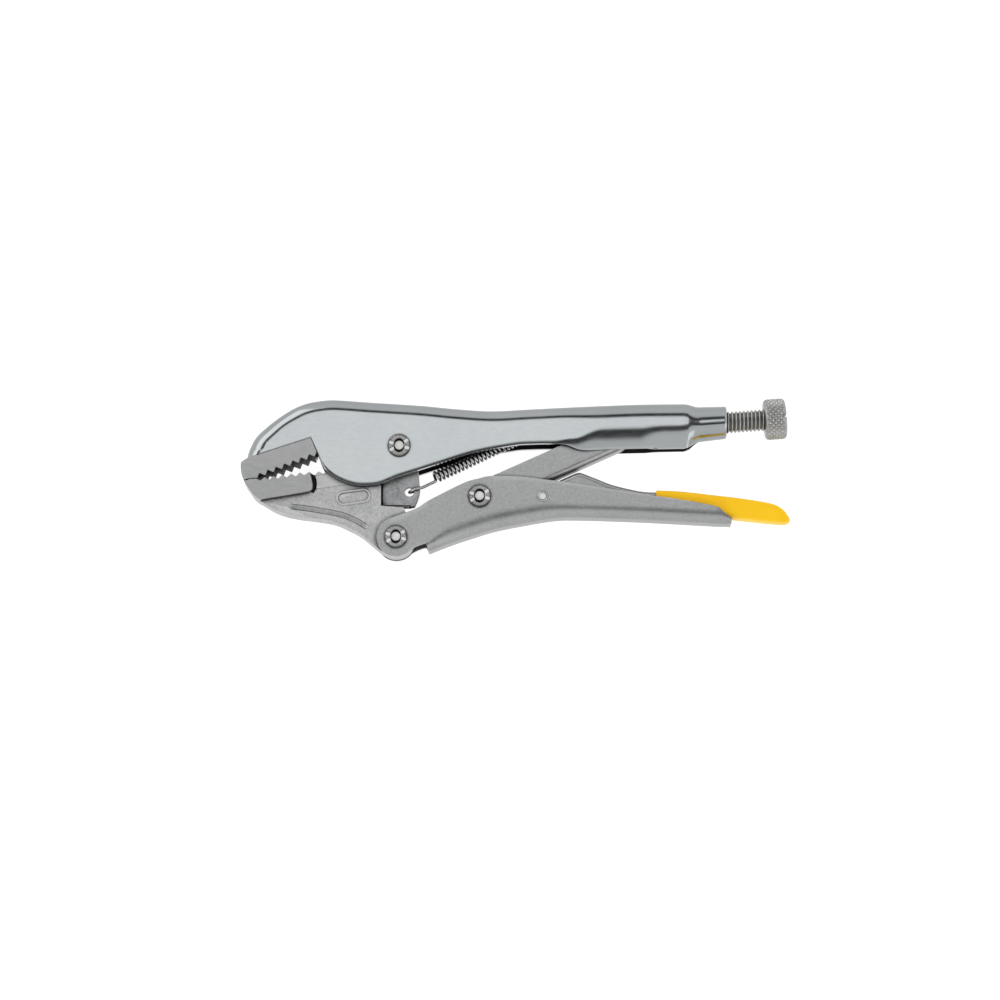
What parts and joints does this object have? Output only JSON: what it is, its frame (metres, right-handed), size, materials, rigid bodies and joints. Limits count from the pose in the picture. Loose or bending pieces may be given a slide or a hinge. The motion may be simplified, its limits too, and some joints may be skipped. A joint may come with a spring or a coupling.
{
  "type": "locking pliers",
  "caption": "Straight-jaw locking pliers with an over-centre toggle link, a knurled adjusting screw and a yellow-dipped release lever, shown closed and locked.",
  "frame": {"origin": "under the middle of the closed tool's bounding box, on the surface it lies on", "axes": "+X from the jaws to the handle ends, +Y from the lower handle to the upper handle, +Z through the thickness, along every rivet"},
  "size_m": [0.2239, 0.0665, 0.0177],
  "materials": {
    "chrome_plate": "polished chrome plate",
    "ground_steel": "finely ground forged steel",
    "satin_nickel": "satin nickel plate",
    "bright_nickel": "nickel plate, brighter on edges",
    "spring_steel": "dark oil-tempered wire",
    "yellow_vinyl": "dipped vinyl with a soft sheen"
  },
  "bodies": {
    "upper_body": {"upper_handle": "chrome_plate", "upper_jaw": "ground_steel", "main_pivot_rivet": "bright_nickel"},
    "jaw_body": {"lower_jaw": "ground_steel", "return_spring": "spring_steel"},
    "lower_body": {"lower_handle": "satin_nickel", "jaw_pivot_rivet": "bright_nickel", "link_pivot_rivet": "bright_nickel", "lever_pivot_pin": "bright_nickel"},
    "link_body": {"toggle_link": "satin_nickel"},
    "lever_body": {"release_lever": "satin_nickel", "lever_sleeve": "yellow_vinyl"},
    "screw_body": {"adjusting_screw": "bright_nickel"}
  },
  "joints": [
    {"name": "jaw_open", "type": "hinge", "parent": "upper_body", "child": "jaw_body", "pos_m": [-0.0474, 0.0121, 0.00885], "axis": [0, 0, 1], "range_deg": [0, 22], "deforming": ["return_spring"]},
    {"name": "handle_swing", "type": "hinge", "parent": "jaw_body", "child": "lower_body", "pos_m": [-0.0486, -0.0254, 0.00885], "axis": [0, 0, 1], "range_deg": [-64.7, 0]},
    {"name": "link_swing", "type": "hinge", "parent": "lower_body", "child": "link_body", "pos_m": [-0.0146, -0.00865, 0.00885], "axis": [0, 0, 1], "range_deg": [0, 70]},
    {"name": "release_lift", "type": "hinge", "parent": "lower_body", "child": "lever_body", "pos_m": [0.011, -0.0088, 0.00885], "axis": [0, 0, 1], "range_deg": [0, 3]},
    {"name": "screw_travel", "type": "slide", "parent": "upper_body", "child": "screw_body", "axis": [0.9974, 0.0724, 0], "range_m": [0, 0.02]}
  ],
  "couplings": [
    {"joint": "handle_swing", "follows": "jaw_open", "ratio": -2.94},
    {"joint": "link_swing", "follows": "jaw_open", "ratio": 3.18}
  ]
}
